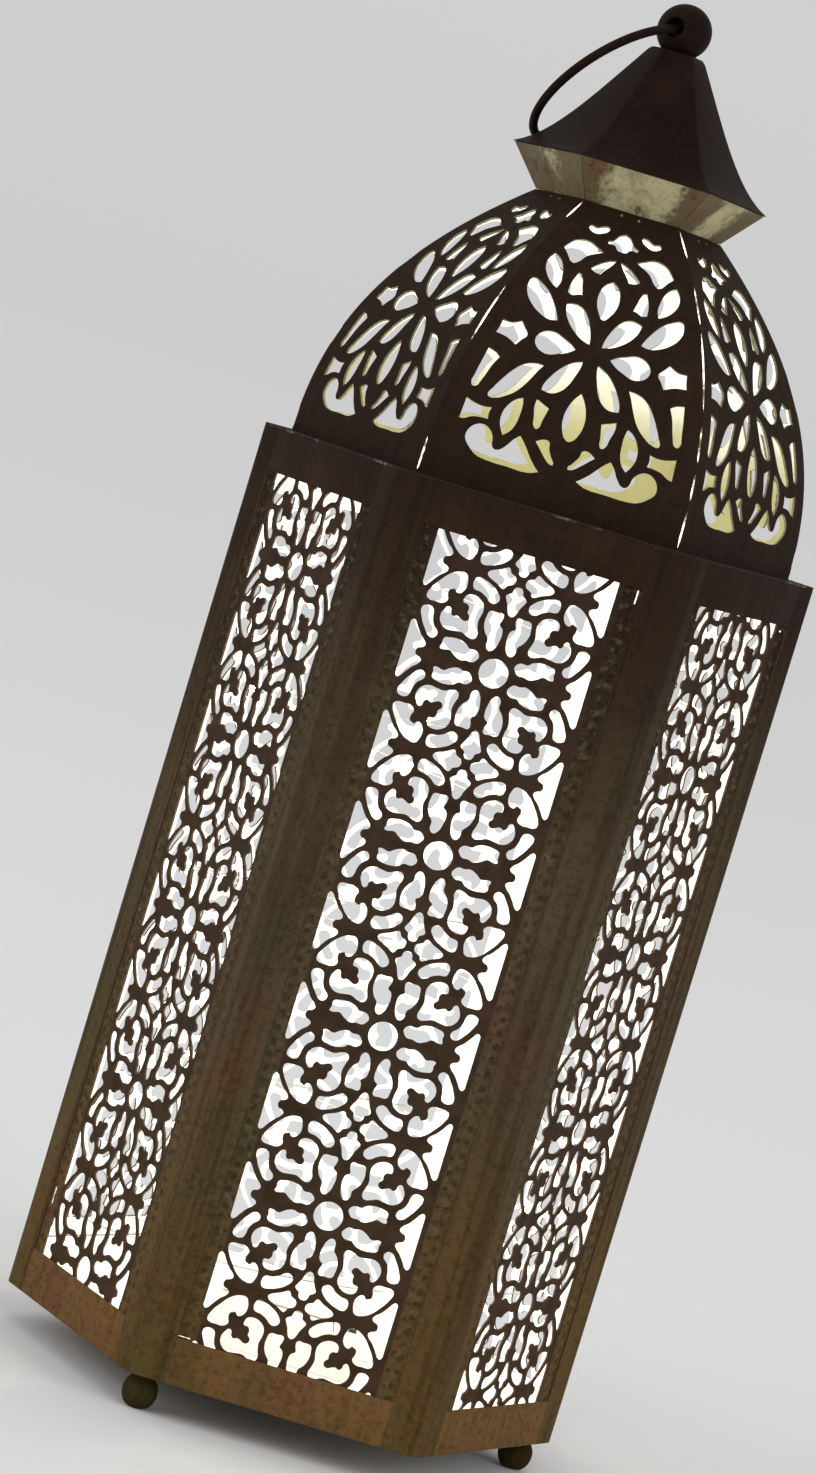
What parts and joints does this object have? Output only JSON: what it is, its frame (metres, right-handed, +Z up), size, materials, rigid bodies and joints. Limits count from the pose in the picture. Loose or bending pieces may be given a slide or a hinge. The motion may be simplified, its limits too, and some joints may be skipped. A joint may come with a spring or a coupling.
{
  "type": "lantern floor lamp",
  "caption": "Hexagonal pierced-metal floor lantern with domed top, flared cap, ball finial, ring handle and hinged door, on ball feet, lit inside by a battery lamp string.",
  "frame": {"origin": "on the ground under the lantern's axis", "axes": "+Z up; -Y is the front face's outward direction; +X points to a body corner"},
  "size_m": [0.255, 0.2224, 0.6497],
  "materials": {
    "body_metal": "thin sheet iron with an olive-brown patina and rust-red patches",
    "dome_metal": "thin sheet iron with a dark brown patina",
    "cap_metal": "near-black brown patina, satin",
    "worn_metal": "worn cream-olive metal with rust streaks",
    "white_plastic": "plain moulded plastic",
    "dark_plastic": "plain moulded plastic",
    "cell_sleeve": "plain printed sleeve with no marks",
    "silver_wire": "bare silvery wire with clear beads over small lamps"
  },
  "bodies": {
    "lantern": {"corner_post_right": "body_metal", "corner_post_rear_right": "body_metal", "corner_post_rear_left": "body_metal", "corner_post_left": "body_metal", "corner_post_front_left": "body_metal", "corner_post_front_right": "body_metal", "bottom_rail_front": "body_metal", "top_rail_front": "body_metal", "bottom_rail_front_right": "body_metal", "top_rail_front_right": "body_metal", "bottom_rail_rear_right": "body_metal", "top_rail_rear_right": "body_metal", "bottom_rail_rear": "body_metal", "top_rail_rear": "body_metal", "bottom_rail_rear_left": "body_metal", "top_rail_rear_left": "body_metal", "bottom_rail_front_left": "body_metal", "top_rail_front_left": "body_metal", "rim_ring": "dome_metal", "base_plate": "body_metal", "ball_foot_right": "body_metal", "foot_nut_right": "worn_metal", "ball_foot_rear_left": "body_metal", "foot_nut_rear_left": "worn_metal", "ball_foot_front_left": "body_metal", "foot_nut_front_left": "worn_metal", "pierced_panel_front": "body_metal", "pierced_panel_front_right": "body_metal", "pierced_panel_rear_right": "body_metal", "pierced_panel_rear": "body_metal", "pierced_panel_front_left": "body_metal", "dome_panel_front": "dome_metal", "dome_panel_front_right": "dome_metal", "dome_panel_rear_right": "dome_metal", "dome_panel_rear": "dome_metal", "dome_panel_rear_left": "dome_metal", "dome_panel_front_left": "dome_metal", "cap_roof": "cap_metal", "cap_skirt": "worn_metal", "ball_finial": "cap_metal", "finial_nut": "worn_metal", "door_stop": "body_metal", "latch_pin": "worn_metal", "post_hinge_leaf_upper": "worn_metal", "hinge_pin_upper": "worn_metal", "post_hinge_leaf_lower": "worn_metal", "hinge_pin_lower": "worn_metal", "battery_box": "white_plastic", "battery_cell_1": "cell_sleeve", "battery_cell_2": "cell_sleeve", "lamp_string": "silver_wire"},
    "ring": {"ring_handle": "cap_metal"},
    "door": {"door_frame": "body_metal", "door_pierced_panel": "body_metal", "door_hinge_leaf_upper": "worn_metal", "door_hinge_leaf_lower": "worn_metal", "door_knob": "worn_metal"},
    "latch": {"door_latch": "worn_metal"},
    "lid": {"battery_lid": "white_plastic"},
    "switch": {"switch_slider": "dark_plastic"}
  },
  "joints": [
    {"name": "ring_swing", "type": "hinge", "parent": "lantern", "child": "ring", "pos_m": [0, 0, 0.63739], "axis": [0.454, 0.891, 0], "range_deg": [0, 280]},
    {"name": "door_swing", "type": "hinge", "parent": "lantern", "child": "door", "pos_m": [-0.12256, 0.01511, 0.218], "axis": [0, 0, 1], "range_deg": [0, 110]},
    {"name": "latch_turn", "type": "hinge", "parent": "lantern", "child": "latch", "pos_m": [-0.06933, 0.10492, 0.218], "axis": [-0.866, 0.5, 0], "range_deg": [0, 90]},
    {"name": "lid_slide", "type": "slide", "parent": "lantern", "child": "lid", "axis": [-1, 0, 0], "range_m": [0, 0.054]},
    {"name": "switch_slide", "type": "slide", "parent": "lantern", "child": "switch", "axis": [0, 1, 0], "range_m": [0, 0.003]}
  ]
}
